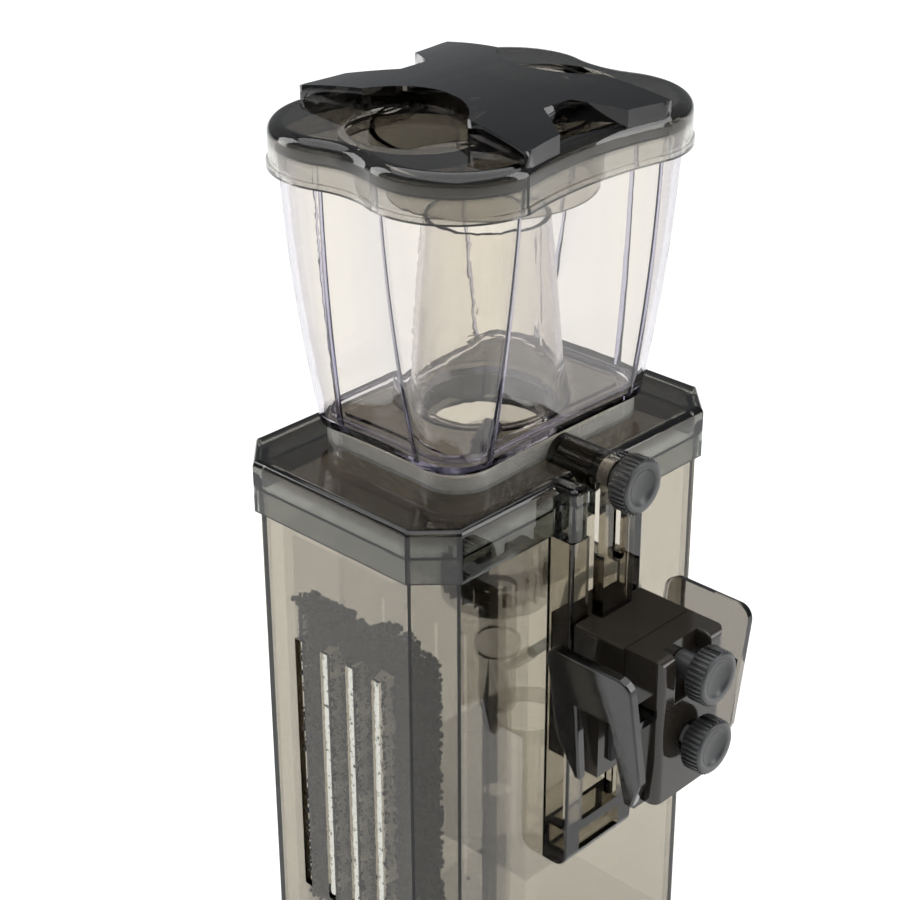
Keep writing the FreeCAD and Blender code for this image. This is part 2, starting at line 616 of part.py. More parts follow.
def cheek(sign):
    """Hook-shaped side plate, leaning in towards its tips, with the web that carries it."""
    low, high = HOOK_BOTTOM, HOOK_TOP
    outline = [
        (CHEEK_X0, high), (JAW_X, high), (JAW_X, low + 9), (JAW_X - 3.5, low),
        (GLASS_X1 + 2.0, low), (GLASS_X1, GLASS_TOP), (GLASS_X0, GLASS_TOP), (GLASS_X0 - 2.0, low),
        (CHEEK_X0 + 4.5, low), (CHEEK_X0, low + 12),
    ]
    pts = [V(x, 0, z) for x, z in outline]
    plate = Part.Face(Part.makePolygon(pts + pts[:1])).extrude(V(0, CHEEK_T, 0))
    corners = [
        e for e in plate.Edges
        if e.BoundBox.YMax - e.BoundBox.YMin > 1 and e.BoundBox.ZMin > high - 0.1
    ]
    plate = plate.makeFillet(4.0, corners)
    rim = [e for e in plate.Edges if e.BoundBox.YMin > CHEEK_T - 0.01]
    plate = plate.makeFillet(EASE, rim)
    lean = math.degrees(math.atan2(CHEEK_TOP_Y - CHEEK_BOTTOM_Y, high - low))
    plate.translate(V(0, -CHEEK_T, 0))
    plate.rotate(V(0, 0, high), AX, -lean)
    plate.translate(V(0, CHEEK_TOP_Y, 0))
    web_x0, web_x1 = GLASS_X1 + 1.5, JAW_X - 1.0
    webs = [
        box(web_x0, web_x1, JAW_HALF, CHEEK_TOP_Y - 4.0, GLASS_TOP, GLASS_TOP + 2.2),
        box(GLASS_X1 + 2.0, JAW_X - 3.5, JAW_HALF, CHEEK_BOTTOM_Y - 1.0, low, low + 2.2),
    ]
    body = plate.fuse(webs)
    body = body.cut(box(CHEEK_X0 - 5, JAW_X + 5, -JAW_HALF, JAW_HALF, low - 5, high + 5))
    if sign < 0:
        body = body.mirror(V(0, 0, 0), V(0, 1, 0))
    return body.removeSplitter()


def outer_jaw():
    """Outer half of the clamp, with two shoulders round the locking screw's recess."""
    half = JAW_HALF
    body = box(SEAM_X + GAP, JAW_X, -half, half, HOOK_BOTTOM, HOOK_TOP)
    corners = [
        e for e in body.Edges
        if e.BoundBox.XMax - e.BoundBox.XMin < 0.1 and e.BoundBox.XMin > JAW_X - 0.1
        and (e.BoundBox.ZMax - e.BoundBox.ZMin > 5 or e.BoundBox.ZMin > HOOK_TOP - 0.1)
    ]
    body = body.makeFillet(2.2, corners)
    body = body.cut(box(SEAM_X, GLASS_X1, -half - 1, half + 1, HOOK_BOTTOM - 1, GLASS_TOP))
    recess = box(JAW_X - 4.5, JAW_X + 1, -6.6, 6.6, UPPER_Z - 7.0, HOOK_TOP + 1)
    body = body.cut(recess)
    mouth = [
        e for e in body.Edges
        if e.BoundBox.XMin > JAW_X - 0.05 and abs(e.BoundBox.YMin) < 7 and abs(e.BoundBox.YMax) < 7
        and UPPER_Z - 8 < e.BoundBox.ZMin and e.BoundBox.ZMax < HOOK_TOP - 0.5
    ]
    body = body.makeFillet(EASE, mouth)
    body = body.cut(rod(STUD_R + FIT, SEAM_X, JAW_X + 1, UPPER_Z))
    body = body.cut(rod(3.8, GLASS_X1 + 1.0, COUNTERBORE_X, LOWER_Z))
    body = body.cut(rod(STUD_R + FIT, SEAM_X, JAW_X + 1, LOWER_Z))
    body = body.cut(rod(4.4, COUNTERBORE_X, JAW_X + 1, LOWER_Z))
    return body.removeSplitter()


def jaw_insert():
    ring = rod(3.8, GLASS_X1 + 1.0, COUNTERBORE_X, LOWER_Z)
    return ring.cut(rod(STUD_R + FIT, GLASS_X1, JAW_X, LOWER_Z))


def press_pad():
    """Soft disc that bears on the glass, free to turn on the stud's tip."""
    pad = rod(5.2, PAD_X, PAD_X + PAD_T, LOWER_Z)
    edge = [e for e in pad.Edges if e.BoundBox.XMax < PAD_X + 0.1]
    pad = pad.makeFillet(0.8, edge)
    return pad.cut(rod(STUD_R + FIT, PAD_X + 1.4, PAD_X + PAD_T + 1, LOWER_Z))


def glass_pad():
    """Soft strip on the inner face of the glass slot."""
    return box(GLASS_X0, GLASS_X0 + 1.2, -9.0, 9.0, 135.0, 154.0)


def height_washer():
    return rod(5.4, BAR_X1 + 0.2, HEIGHT_KNOB_BACK_X - 0.2, HEIGHT_SCREW_Z).cut(
        rod(STUD_R + FIT, BAR_X1, HEIGHT_KNOB_BACK_X, HEIGHT_SCREW_Z))


def export(node, shape):
    if not shape.isValid():
        print("invalid", node)
    shape.exportStep("parts/%s.step" % node)
    print("%-18s solids %d  volume %.1f" % (node, len(shape.Solids), shape.Volume))


def build():
    """Every node's shape, in the order of assembly."""
    return {
        "base_plate": base_plate(),
        "tank_shell": tank_shell(),
        "hanger_rail": hanger_rail(),
        "pump_deck": pump_deck(),
        "partition_wall": partition_wall(),
        "pump_housing": pump_housing(),
        "shaft_bush": shaft_bush(),
        "impeller_shaft": impeller_shaft(),
        "impeller_magnet": impeller_magnet(),
        "impeller": impeller(),
        "pump_cover": pump_cover(),
        "outlet_pipe": outlet_pipe(),
        "venturi_nozzle": venturi_nozzle(),
        "airline_tube": airline_tube(),
        "bubble_diffuser": bubble_diffuser(),
        "reactor_tray": reactor_tray(),
        "reaction_cone": reaction_cone(),
        "basket_shelf": basket_shelf(),
        "media_basket": media_basket(),
        "filter_pad": filter_pad(),
        "carbon_media": carbon_media(),
        "top_cover": top_cover(),
        "boss_insert": boss_insert(),
        "cable_gland": cable_gland(),
        "cup_collar": cup_collar(),
        "foam_seal": foam_seal(),
        "collection_cup": collection_cup(),
        "riser_neck": riser_neck(),
        "drain_stub": drain_stub(),
        "cup_lid": cup_lid(),
        "lid_bridge": lid_bridge(),
        "lid_deflector": lid_deflector(),
        "lid_seal": lid_seal(),
        "hanger_bar": hanger_bar(),
        "slider_block": slider_block(),
        "slider_insert": slider_insert(),
        "near_cheek": cheek(-1),
        "far_cheek": cheek(1),
        "glass_pad": glass_pad(),
        "outer_jaw": outer_jaw(),
        "jaw_insert": jaw_insert(),
        "lock_knob": knob(KNOB_BACK_X, UPPER_Z, JAW_X - 4.2),
        "lock_stud": rod(STUD_R, 50.0, KNOB_BACK_X + 2.5, UPPER_Z),
        "press_pad": press_pad(),
        "clamp_knob": knob(KNOB_BACK_X, LOWER_Z, JAW_X + 0.3),
        "clamp_stud": rod(STUD_R, PAD_X + 1.6, KNOB_BACK_X + 2.5, LOWER_Z),
        "height_washer": height_washer(),
        "height_knob": knob(HEIGHT_KNOB_BACK_X, HEIGHT_SCREW_Z, HEIGHT_KNOB_BACK_X - 0.0),
        "height_stud": rod(STUD_R, 29.5, HEIGHT_KNOB_BACK_X + 2.5, HEIGHT_SCREW_Z),
    }


os.makedirs("parts", exist_ok=True)
for name, solid in build().items():
    export(name, solid)
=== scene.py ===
import math
import random

import bpy
from mathutils import Euler, Matrix, Vector


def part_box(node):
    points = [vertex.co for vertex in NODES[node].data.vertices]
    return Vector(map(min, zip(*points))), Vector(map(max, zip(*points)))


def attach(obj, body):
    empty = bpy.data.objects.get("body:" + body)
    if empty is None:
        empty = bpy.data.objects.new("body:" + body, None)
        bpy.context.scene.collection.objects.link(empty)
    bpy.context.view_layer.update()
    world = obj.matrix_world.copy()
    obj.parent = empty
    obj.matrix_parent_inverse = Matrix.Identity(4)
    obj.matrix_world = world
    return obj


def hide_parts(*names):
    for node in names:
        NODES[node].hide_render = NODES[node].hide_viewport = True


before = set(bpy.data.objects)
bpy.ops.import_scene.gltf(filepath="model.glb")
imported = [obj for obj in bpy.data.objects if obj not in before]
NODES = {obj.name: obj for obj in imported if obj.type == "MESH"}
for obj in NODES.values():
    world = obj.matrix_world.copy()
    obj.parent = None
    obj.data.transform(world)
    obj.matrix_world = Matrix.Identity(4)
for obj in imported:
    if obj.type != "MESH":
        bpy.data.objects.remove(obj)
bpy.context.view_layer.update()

# ---- Studio -------------------------------------------------------------------------------
# A large overhead softbox over a pale sweep, two tall strip boxes that draw the bright lines
# down the clear walls, and a camera that looks down on the cover from the clamp side.
MM = 0.001
COVER_TOP = 0.210
AZIMUTH, ELEVATION, ROLL = (math.radians(a) for a in (43.9, 26.94, -0.32))
CAMERA_OFFSET = Vector((0.3249, -0.3497, 0.2344))
LENS, SENSOR = 83.1, 36.0
SKY_COLOUR, SKY_STRENGTH = (0.93, 0.96, 1.0, 1.0), 0.27
FLOOR_SIZE, FLOOR_GAP = 12, 0.5 * MM


def linear(code):
    """Scene colour of an sRGB hex value."""
    parts = [int(code[i:i + 2], 16) / 255 for i in (1, 3, 5)]
    return tuple(c / 12.92 if c <= 0.04045 else ((c + 0.055) / 1.055) ** 2.4 for c in parts) + (1.0,)


def add(tree, kind, sockets=None, **settings):
    """A node with its settings. Each socket is given a value or linked to another node's output."""
    node = tree.nodes.new(kind)
    for name, value in settings.items():
        setattr(node, name, value)
    for name, value in (sockets or {}).items():
        if isinstance(value, bpy.types.NodeSocket):
            tree.links.new(value, node.inputs[name])
        else:
            node.inputs[name].default_value = value
    return node


def new_material(name):
    """An empty material with its output node."""
    material = bpy.data.materials.new(name)
    material.use_nodes = True
    material.node_tree.nodes.clear()
    return material, material.node_tree, add(material.node_tree, "ShaderNodeOutputMaterial")


camera_data = bpy.data.cameras.new("camera")
camera_data.sensor_width = SENSOR
camera_data.lens = LENS
camera_data.clip_start = 0.01
camera = bpy.data.objects.new("camera", camera_data)
bpy.context.scene.collection.objects.link(camera)
bpy.context.scene.camera = camera
turn = Euler((math.pi / 2 - ELEVATION, 0, AZIMUTH)).to_matrix() @ Matrix.Rotation(ROLL, 3, "Z")
camera.matrix_world = Matrix.Translation(Vector((0, 0, COVER_TOP)) + CAMERA_OFFSET) @ turn.to_4x4()

bpy.context.scene.view_settings.view_transform = "Standard"

world = bpy.data.worlds.new("studio")
world.use_nodes = True
sky = world.node_tree.nodes["Background"]
sky.inputs["Color"].default_value = SKY_COLOUR
sky.inputs["Strength"].default_value = SKY_STRENGTH
bpy.context.scene.world = world


def softbox(name, place, aim, width, height, watts):
    """A soft area light that faces the aim point."""
    data = bpy.data.lights.new(name, "AREA")
    data.shape = "RECTANGLE"
    data.size, data.size_y = width, height
    data.energy = watts
    light = bpy.data.objects.new(name, data)
    bpy.context.scene.collection.objects.link(light)
    look = (Vector(aim) - Vector(place)).to_track_quat("-Z", "Y")
    light.matrix_world = Matrix.Translation(place) @ look.to_matrix().to_4x4()


softbox("overhead", (0, 0, 3.0), (0, 0, 0), 5.0, 5.0, 155)
softbox("left_strip", (-1.3, -0.7, 0.7), (0, 0, 0.2), 0.5, 1.4, 10)
softbox("right_strip", (1.2, 0.9, 0.8), (0, 0, 0.2), 0.5, 1.4, 10)

bpy.ops.object.select_all(action="DESELECT")
bpy.ops.mesh.primitive_plane_add(size=FLOOR_SIZE, location=(0, 0, -FLOOR_GAP))
floor = bpy.context.object
floor.name = "floor"
# Matt white paint: it takes soft shadows and shows no reflection.
paint, tree, output = new_material("matt_white_sweep")
surface = add(tree, "ShaderNodeBsdfPrincipled", {"Base Color": linear("#f6f6f5"), "Roughness": 0.9})
tree.links.new(surface.outputs[0], output.inputs["Surface"])
floor.data.materials.append(paint)

# ---- Tank ---------------------------------------------------------------------------------
# An octagonal open box of smoked transparent styrene, injection moulded and polished, with a
# base plate welded under it and a rail for the clamp moulded on the long side.
GRAZING_SHADE_BLEND = 0.15


def see_through(name, tint, roughness=0.02, ior=1.57, ripple=14.0, depth=0.03,
                edge=None, deep=None, body=0.0, rim=None):
    """Polished transparent plastic. The wall takes the tint once for each time it is crossed.

    A faint ripple, as wide in mm as the flow marks of a moulding, bends what is seen through it,
    and lamps shine through it with the same tint. Edge is the colour that gathers in long paths
    through it and its density per metre. Deep is a height and the tint of the thick part above
    it, darker than its thickness alone gives: partly painted shade. Body is the share that
    scatters in the plastic, and rim a tint for walls that are looked along: partly the long path
    through the resin, partly painted shade at the silhouettes.
    """
    material, tree, output = new_material(name)
    place = add(tree, "ShaderNodeTexCoord").outputs["Object"]
    flow = add(tree, "ShaderNodeTexNoise", {"Vector": place, "Scale": 1 / (ripple * MM), "Detail": 2.0})
    bump = add(tree, "ShaderNodeBump", {"Height": flow.outputs["Fac"], "Strength": depth, "Distance": MM})
    plastic = add(tree, "ShaderNodeBsdfPrincipled", {
        "Base Color": linear(tint), "Roughness": roughness, "IOR": ior,
        "Transmission Weight": 1.0 - body, "Normal": bump.outputs["Normal"]})
    lamp = add(tree, "ShaderNodeBsdfTransparent", {"Color": linear(tint)})
    # Above the height the tint darkens: partly the thicker plastic, partly painted shade.
    if deep:
        height, thick_and_shaded_tint = deep
        level = add(tree, "ShaderNodeSeparateXYZ", {"Vector": place})
        thick = add(tree, "ShaderNodeMapRange", {
            "Value": level.outputs["Z"], "From Min": height - MM, "From Max": height + MM})
        thick_and_shaded_mix = add(tree, "ShaderNodeMix", {0: thick.outputs["Result"]}, data_type="RGBA")
        thick_and_shaded_mix.inputs[6].default_value = linear(tint)
        thick_and_shaded_mix.inputs[7].default_value = linear(thick_and_shaded_tint)
        tree.links.new(thick_and_shaded_mix.outputs[2], plastic.inputs["Base Color"])
    # Walls seen edge-on take the rim tint: partly resin colour, partly painted shade.
    if rim:
        along = add(tree, "ShaderNodeLayerWeight", {"Blend": GRAZING_SHADE_BLEND})
        wall = add(tree, "ShaderNodeMix", {0: along.outputs["Facing"]}, data_type="RGBA")
        wall.inputs[6].default_value = linear(tint)
        wall.inputs[7].default_value = linear(rim)
        tree.links.new(wall.outputs[2], plastic.inputs["Base Color"])
    lit = add(tree, "ShaderNodeLightPath")
    mix = add(tree, "ShaderNodeMixShader", {
        0: lit.outputs["Is Shadow Ray"], 1: plastic.outputs[0], 2: lamp.outputs[0]})
    tree.links.new(mix.outputs[0], output.inputs["Surface"])
    if edge:
        edge_colour, density = edge
        gathered = add(tree, "ShaderNodeVolumeAbsorption", {
            "Color": linear(edge_colour), "Density": density})
        tree.links.new(gathered.outputs[0], output.inputs["Volume"])
    return material


def finish(material, *names):
    """Gives CAD nodes a material."""
    for name in names:
        for place in NODES[name].material_slots:
            place.material = material


# Smoked clear styrene: pale through one wall, warm grey through two, and dark along its edges.
smoked_styrene = see_through("smoked_transparent_styrene", "#efece5", ior=1.46, edge=("#c3beb3", 315.0))
finish(smoked_styrene, "tank_shell", "base_plate", "hanger_rail")

# ---- Chamber floor and walls --------------------------------------------------------------
# Cut sheets of the same plastic, a little paler, slid into the tank. They part the pump bay,
# the foam chamber and the carbon bay.


def thin_clear(name, colour, alpha, roughness=0.15):
    """Thin clear moulding inside the tank, seen as a faint even film. Alpha is how much it hides."""
    material, tree, output = new_material(name)
    plastic = add(tree, "ShaderNodeBsdfPrincipled", {
        "Base Color": linear(colour), "Roughness": roughness, "IOR": 1.4, "Alpha": alpha})
    tree.links.new(plastic.outputs[0], output.inputs["Surface"])
    return material


# Cut sheet: a faint warm veil with a soft shine.
pale_sheet = thin_clear("pale_smoked_sheet", "#b8b3a8", 0.1)
finish(pale_sheet, "pump_deck", "partition_wall", "basket_shelf")

# ---- Pump ---------------------------------------------------------------------------------
# A small sealed motor of black polypropylene with a magnet rotor on a ceramic shaft. Its
# moulded skin is satin with a fine grain.
TOUCH_MM = 9


def moulded_solid(name, colour, cloud, roughness, grain=0.6, depth=0.12):
    """Opaque plastic, metal or rubber: fine surface grain, two near colours in soft clouds, and
    uneven gloss where hands polish it. Grain is its width in mm.
    """
    material, tree, output = new_material(name)
    place = add(tree, "ShaderNodeTexCoord").outputs["Object"]
    grit = add(tree, "ShaderNodeTexNoise", {"Vector": place, "Scale": 1 / (grain * MM), "Detail": 3.0})
    bump = add(tree, "ShaderNodeBump", {
        "Height": grit.outputs["Fac"], "Strength": depth, "Distance": 0.1 * MM})
    handling = add(tree, "ShaderNodeTexNoise", {
        "Vector": place, "Scale": 1 / (TOUCH_MM * MM), "Detail": 4.0})
    gloss = add(tree, "ShaderNodeMapRange", {
        "Value": handling.outputs["Fac"], "From Min": 0.3, "From Max": 0.7,
        "To Min": roughness * 0.82, "To Max": roughness * 1.18})
    shade = add(tree, "ShaderNodeMix", {"Factor": handling.outputs["Fac"]}, data_type="RGBA")
    shade.inputs[6].default_value = linear(colour)
    shade.inputs[7].default_value = linear(cloud)
    plastic = add(tree, "ShaderNodeBsdfPrincipled", {
        "Base Color": shade.outputs[2], "Roughness": gloss.outputs["Result"],
        "Normal": bump.outputs["Normal"]})
    tree.links.new(plastic.outputs[0], output.inputs["Surface"])
    return material


# Spark-eroded mould skin: a satin black that spreads its highlights.
black_polypropylene = moulded_solid("grained_black_polypropylene", "#1d1d1e", "#2a2a2b", 0.42)
finish(black_polypropylene, "pump_housing", "pump_cover", "shaft_bush")
# Moulded acetal: a bright, waxy white.
acetal = moulded_solid("white_acetal", "#dcdad2", "#cfccc2", 0.35)
finish(acetal, "impeller")
# Pressed and fired ferrite: dull, dark and slightly pitted.
ferrite = moulded_solid("sintered_ferrite", "#2b2b2d", "#38383a", 0.5, grain=0.3, depth=0.3)
finish(ferrite, "impeller_magnet")
# Ground ceramic: a smooth ivory rod with a tight highlight.
ceramic = moulded_solid("ground_alumina_ceramic", "#eeece4", "#e2dfd5", 0.22, grain=0.2, depth=0.04)
finish(ceramic, "impeller_shaft")

# ---- Foam chamber -------------------------------------------------------------------------
# Venturi, outlet pipe, ribbed bubble ring, tray and foam funnel are moulded in clear styrene
# that looks faintly milky next to the smoked wall. The air line is soft silicone tube.
# Moulded clear styrene: a milky veil, denser where walls overlap.
milky_styrene = thin_clear("milky_clear_styrene", "#b4afa4", 0.2)
finish(milky_styrene, "outlet_pipe", "venturi_nozzle", "bubble_diffuser", "reactor_tray", "reaction_cone")
# Extruded silicone: cloudy blue-grey with a broad, dull shine.
silicone_tube = thin_clear("soft_silicone_tube", "#9aa5aa", 0.55, roughness=0.3)
finish(silicone_tube, "airline_tube")

# ---- Carbon chamber -----------------------------------------------------------------------
# A lift-out basket of smoked styrene, chamfered at its front corners, with the same four slots
# as the tank. It holds crushed coconut carbon behind a white filter pad, which stands in three
# of the slots. Grains fill the fourth.
# Thin smoked styrene: it darkens what is behind it and hides nothing.
basket_styrene = thin_clear("smoked_basket_styrene", "#3c3a37", 0.1)
finish(basket_styrene, "media_basket")
basket_low, basket_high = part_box("media_basket")
bed_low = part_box("carbon_media")[0]
pad_low, pad_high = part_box("filter_pad")
tank_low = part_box("tank_shell")[0]
GRAIN_MM = (0.5, 0.9)
GRAIN_GAP = 1.45 * MM
HEAP_GRAINS, BARE_SLOT_GRAINS, STRIP_GRAINS = 700, 420, 150
SPECK_MM, FIBRE_MM, DUST_MM = 1.1, 0.9, 1.6
WALL_CLEAR = 2.7 * MM
CHAMFER = 4.4 * MM
HEAP_TOP = 0.171
BED_DEPTH = 15.5 * MM
BARE_SLOT_X = -13.9 * MM
STRIP_XS = (-4.6, 4.6, 13.9)
STRIP_W = 2.2 * MM
STRIP_CLEAR = 1.9 * MM
STRIP_ROWS, STRIP_ROUGH = 90, 0.22 * MM
SLOT_FOOT, SLOT_HEAD = 6 * MM, 4 * MM
random.seed(11)


def crushed_carbon():
    """Near-black coke with a dull sparkle: facets of fresh breaks catch the light."""
    material, tree, output = new_material("crushed_activated_carbon")
    place = add(tree, "ShaderNodeTexCoord").outputs["Object"]
    speck = add(tree, "ShaderNodeTexVoronoi", {"Vector": place, "Scale": 1 / (SPECK_MM * MM)})
    # Lighter specks are painted glints on fresh breaks; the shine also varies from speck to speck.
    painted_glints = add(tree, "ShaderNodeValToRGB", {"Fac": speck.outputs["Color"]})
    painted_glints.color_ramp.elements[0].position = 0.35
    painted_glints.color_ramp.elements[0].color = linear("#060607")
    painted_glints.color_ramp.elements[1].position = 0.95
    painted_glints.color_ramp.elements[1].color = linear("#2e2c2a")
    gloss = add(tree, "ShaderNodeMapRange", {
        "Value": speck.outputs["Distance"], "To Min": 0.25, "To Max": 0.7})
    coke = add(tree, "ShaderNodeBsdfPrincipled", {
        "Base Color": painted_glints.outputs["Color"], "Roughness": gloss.outputs["Result"]})
    tree.links.new(coke.outputs[0], output.inputs["Surface"])
    return material


def heap_height(x, y):
    """Top of the poured bed: uneven along the slots, and sunk towards the back."""
    ridge = 1.5 * MM * math.sin(x / (5 * MM)) - 1.2 * MM * math.cos(x / (3 * MM))
    return HEAP_TOP + ridge - 0.3 * (y - basket_low.y)


def bed_plan(inset):
    """Corners of the bed in plan, counter-clockwise from the front left."""
    x = basket_high.x - inset
    y0, y1 = basket_low.y + inset, basket_low.y + BED_DEPTH - inset
    c = CHAMFER
    return [(c - x, y0), (x - c, y0), (x, y0 + c), (x, y1), (-x, y1), (-x, y0 + c)]


bpy.ops.mesh.primitive_ico_sphere_add(subdivisions=1, radius=1.0)
granule = bpy.context.object
granule_corners = [v.co * random.uniform(0.72, 1.1) for v in granule.data.vertices]
granule_faces = [tuple(p.vertices) for p in granule.data.polygons]
bpy.data.objects.remove(granule)

corners, faces = [], []


def drop_granule(x, y, z):
    """One broken grain, turned and sized at random."""
    size = random.uniform(*GRAIN_MM) * MM
    turn = Euler([random.uniform(0, 2 * math.pi) for _ in range(3)]).to_matrix()
    stretch = Vector([random.uniform(0.75, 1.2) for _ in range(3)])
    first = len(corners)
    corners.extend((turn @ (c * stretch)) * size + Vector((x, y, z)) for c in granule_corners)
    faces.extend(tuple(first + i for i in face) for face in granule_faces)


def in_strip(x, y, z):
    """True where a fibre strip stands, so that no grain is dropped into it."""
    beside = min(abs(x - slot_x * MM) for slot_x in STRIP_XS) < STRIP_CLEAR
    return beside and y < pad_high.y + 0.9 * MM and pad_low.z - MM < z < pad_high.z + MM


outline = bed_plan(WALL_CLEAR)
for (x0, y0), (x1, y1) in zip(outline, outline[1:] + outline[:1]):
    run = math.hypot(x1 - x0, y1 - y0)
    count = int(run * (HEAP_TOP - bed_low.z) / GRAIN_GAP ** 2)
    for _ in range(count):
        t = random.random()
        x, y = x0 + (x1 - x0) * t, y0 + (y1 - y0) * t
        z = random.uniform(bed_low.z + MM, heap_height(x, y))
        if in_strip(x, y, z):
            y = pad_high.y + MM
        drop_granule(x, y, z)
for _ in range(HEAP_GRAINS):
    x = random.uniform(-basket_high.x + 3 * MM, basket_high.x - 3 * MM)
    y = random.uniform(basket_low.y + 3 * MM, basket_low.y + BED_DEPTH - 3 * MM)
    drop_granule(x, y, heap_height(x, y) + random.uniform(-0.9, 0.9) * MM)

slot_low, slot_high = pad_low.z + SLOT_FOOT, pad_high.z - SLOT_HEAD
for _ in range(BARE_SLOT_GRAINS):
    x = BARE_SLOT_X + random.uniform(-0.8, 0.8) * MM
    drop_granule(x, tank_low.y + random.uniform(1.2, 5.0) * MM, random.uniform(slot_low, slot_high))
for slot_x in STRIP_XS:
    for _ in range(STRIP_GRAINS):
        x = slot_x * MM + random.uniform(0.7, 1.0) * MM
        drop_granule(x, tank_low.y + random.uniform(1.2, 3.5) * MM, random.uniform(slot_low, slot_high))

# A dark core inside the shell of grains, so that no light shows between them.
core = bed_plan(WALL_CLEAR + 0.4 * MM)
core[0] = (core[0][0], pad_high.y + 0.8 * MM)
core[1] = (core[1][0], pad_high.y + 0.8 * MM)
first = len(corners)
for x, y in core:
    corners.append(Vector((x, y, bed_low.z + 0.3 * MM)))
for x, y in core:
    corners.append(Vector((x, y, heap_height(x, y) - 1.2 * MM)))
count = len(core)
faces.append(tuple(first + i for i in reversed(range(count))))
faces.append(tuple(first + count + i for i in range(count)))
for i in range(count):
    j = (i + 1) % count
    faces.append((first + i, first + j, first + count + j, first + count + i))
mesh = bpy.data.meshes.new("carbon_granules")
mesh.from_pydata([tuple(c) for c in corners], [], faces)
carbon = bpy.data.objects.new("carbon_granules", mesh)
bpy.context.scene.collection.objects.link(carbon)
mesh.materials.append(crushed_carbon())
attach(carbon, "tank")
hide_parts("carbon_media")


def needled_fibre():
    """White polyester wadding: a matt tangle of short fibres with carbon dust caught in it.

    The fibres are a few hundredths thick. They are drawn as clumps, coarse enough to show.
    """
    material, tree, output = new_material("needled_polyester_pad")
    place = add(tree, "ShaderNodeTexCoord").outputs["Object"]
    fibre = add(tree, "ShaderNodeTexNoise", {
        "Vector": place, "Scale": 1 / (FIBRE_MM * MM), "Detail": 6.0, "Distortion": 1.5})
    grain = add(tree, "ShaderNodeTexNoise", {
        "Vector": place, "Scale": 1 / (DUST_MM * MM), "Detail": 5.0, "Roughness": 0.7})
    caught = add(tree, "ShaderNodeValToRGB", {"Fac": grain.outputs["Fac"]})
    caught.color_ramp.elements[0].position = 0.39
    caught.color_ramp.elements[0].color = linear("#171716")
    caught.color_ramp.elements[1].position = 0.43
    caught.color_ramp.elements[1].color = linear("#e9e9e2")
    bump = add(tree, "ShaderNodeBump", {
        "Height": fibre.outputs["Fac"], "Strength": 0.8, "Distance": 0.4 * MM})
    wadding = add(tree, "ShaderNodeBsdfPrincipled", {
        "Base Color": caught.outputs["Color"], "Roughness": 0.95, "Sheen Weight": 0.3,
        "Normal": bump.outputs["Normal"]})
    tree.links.new(wadding.outputs[0], output.inputs["Surface"])
    return material


def select_only(*pieces):
    """Selects these pieces and makes the first one active."""
    bpy.ops.object.select_all(action="DESELECT")
    for piece in pieces:
        piece.select_set(True)
    bpy.context.view_layer.objects.active = pieces[0]


strip_depth = pad_high.y - tank_low.y - 0.9 * MM
strips = []
for number, slot_x in enumerate(STRIP_XS):
    bpy.ops.object.select_all(action="DESELECT")
    bpy.ops.mesh.primitive_grid_add(
        x_subdivisions=4, y_subdivisions=STRIP_ROWS, size=1, rotation=(math.pi / 2, 0, 0))
    strip = bpy.context.object
    strip.scale = (STRIP_W, slot_high - slot_low, 1)
    strip.location = (slot_x * MM - 0.2 * MM, pad_high.y - strip_depth, (slot_low + slot_high) / 2)
    bpy.ops.object.transform_apply(location=True, rotation=True, scale=True)
    bpy.ops.object.mode_set(mode="EDIT")
    bpy.ops.mesh.select_all(action="SELECT")
    bpy.ops.transform.vertex_random(offset=STRIP_ROUGH, seed=number)
    bpy.ops.object.mode_set(mode="OBJECT")
    thick = strip.modifiers.new("depth", "SOLIDIFY")
    thick.thickness = strip_depth
    bpy.ops.object.modifier_apply(modifier="depth")
    strips.append(strip)
select_only(*strips)
bpy.ops.object.join()
pad = strips[0]
pad.name = "fibre_strips"
pad.data.materials.append(needled_fibre())
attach(pad, "tank")
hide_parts("filter_pad")

# ---- Top cover ----------------------------------------------------------------------------
# A cap of deeper smoked styrene that fits over the tank's rim, with two humps over the rail
# and the boss of the height screw. Its outer edges are rounded and polished.
COVER_PLATE = 4 * MM
# Deep smoked styrene: the thin skirt is grey and clear, and the thick plate above it brown-black,
# partly for its thickness and partly as painted shade of the dim tank under it.
smoke_with_painted_shade_top = see_through(
    "smoked_styrene_painted_shade_top", "#8f938f", ior=1.5, deep=(COVER_TOP - COVER_PLATE, "#544f48"))
finish(smoke_with_painted_shade_top, "top_cover")
# Oxidised turned brass: dark olive brown with a soft shine.
brass = moulded_solid("blackened_brass", "#4a4234", "#3b352b", 0.3, grain=0.4, depth=0.05)
finish(brass, "boss_insert", "slider_insert", "jaw_insert")
# Moulded rubber: dull black without a highlight.
soft_rubber = moulded_solid("soft_black_rubber", "#232323", "#2d2d2d", 0.75, grain=0.4, depth=0.3)
finish(soft_rubber, "cable_gland", "foam_seal", "glass_pad", "press_pad")

# ---- Collection cup -----------------------------------------------------------------------
# Clear moulded styrene on a clear plinth: a cup with four round corners, and in it the cone
# that the foam climbs. Thick edges gather a cool violet from the resin.
# Polished clear styrene: walls vanish when faced and darken to violet when looked along,
# partly the resin's tint over a long path and partly painted shade at the silhouettes.
clear_styrene = see_through(
    "clear_violet_styrene", "#fdfaf0", roughness=0.0, ior=1.47, depth=0.02, edge=("#7876b8", 62.0),
    rim="#454280")
finish(clear_styrene, "collection_cup", "riser_neck")
# The same resin in thick rounded creases: bright lines with violet cores.
violet_edge = see_through("violet_edge_styrene", "#f0f0fa", ior=1.58, edge=("#7d7cc4", 300.0))
# Smoked styrene in a short tube: grey with a violet cast.
drain_styrene = see_through("smoked_drain_styrene", "#77737c")
finish(drain_styrene, "drain_stub")
# Satin clear styrene with flow marks: a grey, slightly cloudy plinth.
plinth = see_through(
    "clear_collar_styrene", "#ecece8", roughness=0.05, ior=1.5, ripple=3.0, depth=0.3, body=0.2)
finish(plinth, "cup_collar")

cup_low, cup_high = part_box("collection_cup")
